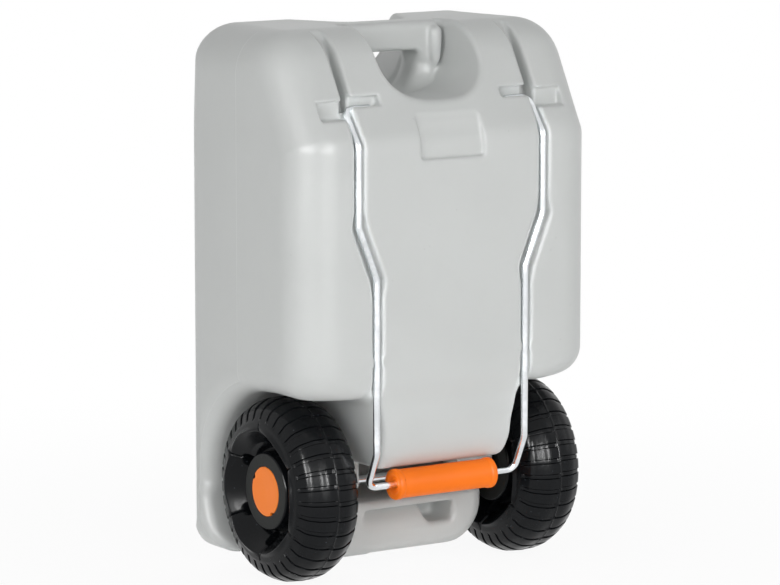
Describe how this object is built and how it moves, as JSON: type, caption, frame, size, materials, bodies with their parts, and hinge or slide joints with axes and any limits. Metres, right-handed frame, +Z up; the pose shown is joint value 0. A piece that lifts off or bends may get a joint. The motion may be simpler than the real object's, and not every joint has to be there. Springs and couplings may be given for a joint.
{
  "type": "portable waste water tank",
  "caption": "Upright moulded waste water tank with a carry handle, ribbed wheels and a fold-out wire pull handle with a grip.",
  "frame": {"origin": "middle of the bounding box, at the lowest point of the wheels", "axes": "+Z up, -Y out of the rear face that carries the pull handle, +Y out of the front face with the caps, X across the tank"},
  "size_m": [0.398, 0.267, 0.6231],
  "materials": {
    "tank_plastic": "satin moulded light grey",
    "wheel_plastic": "satin moulded black",
    "orange_plastic": "satin moulded orange",
    "black_plastic": "satin moulded black",
    "zinc_steel": "bright zinc plating",
    "seal_rubber": "matte"
  },
  "bodies": {
    "tank": {"tank_body": "tank_plastic", "axle": "zinc_steel", "left_spacer_washer": "zinc_steel", "right_spacer_washer": "zinc_steel", "left_outer_washer": "zinc_steel", "right_outer_washer": "zinc_steel", "left_push_washer": "zinc_steel", "right_push_washer": "zinc_steel"},
    "handle": {"pull_handle": "zinc_steel"},
    "grip": {"handle_grip": "orange_plastic"},
    "left_roller": {"left_wheel": "wheel_plastic", "left_hub_cap": "orange_plastic"},
    "right_roller": {"right_wheel": "wheel_plastic", "right_hub_cap": "orange_plastic"},
    "inlet_seal": {"inlet_gasket": "seal_rubber"},
    "inlet_lid": {"inlet_cap": "black_plastic"},
    "drain_seal": {"drain_gasket": "seal_rubber"},
    "drain_lid": {"drain_cap": "black_plastic"},
    "vent_seal": {"vent_gasket": "seal_rubber"},
    "vent_lid": {"vent_cap": "black_plastic"}
  },
  "joints": [
    {"name": "handle_swing", "type": "hinge", "parent": "tank", "child": "handle", "pos_m": [0, -0.1, 0.5392], "axis": [-1, 0, 0], "range_deg": [0, 165]},
    {"name": "grip_spin", "type": "hinge", "parent": "handle", "child": "grip", "pos_m": [0, -0.1105, 0.1143], "axis": [1, 0, 0], "continuous": true},
    {"name": "left_wheel_spin", "type": "hinge", "parent": "tank", "child": "left_roller", "pos_m": [-0.1506, -0.0268, 0.105], "axis": [1, 0, 0], "continuous": true},
    {"name": "right_wheel_spin", "type": "hinge", "parent": "tank", "child": "right_roller", "pos_m": [0.1506, -0.0268, 0.105], "axis": [1, 0, 0], "continuous": true},
    {"name": "inlet_cap_lift", "type": "slide", "parent": "tank", "child": "inlet_seal", "axis": [0, 1, 0], "range_m": [0, 0.024]},
    {"name": "inlet_cap_turn", "type": "hinge", "parent": "inlet_seal", "child": "inlet_lid", "pos_m": [0, 0.1335, 0.393], "axis": [0, 1, 0], "range_deg": [0, 1080]},
    {"name": "drain_cap_lift", "type": "slide", "parent": "tank", "child": "drain_seal", "axis": [0, 1, 0], "range_m": [0, 0.024]},
    {"name": "drain_cap_turn", "type": "hinge", "parent": "drain_seal", "child": "drain_lid", "pos_m": [0.11, 0.1335, 0.497], "axis": [0, 1, 0], "range_deg": [0, 1080]},
    {"name": "vent_cap_lift", "type": "slide", "parent": "tank", "child": "vent_seal", "axis": [0, 1, 0], "range_m": [0, 0.024]},
    {"name": "vent_cap_turn", "type": "hinge", "parent": "vent_seal", "child": "vent_lid", "pos_m": [-0.11, 0.1335, 0.497], "axis": [0, 1, 0], "range_deg": [0, 1080]}
  ],
  "couplings": [
    {"joint": "inlet_cap_turn", "follows": "inlet_cap_lift", "rad_per_m": 785.39},
    {"joint": "drain_cap_turn", "follows": "drain_cap_lift", "rad_per_m": 785.39},
    {"joint": "vent_cap_turn", "follows": "vent_cap_lift", "rad_per_m": 785.39}
  ]
}
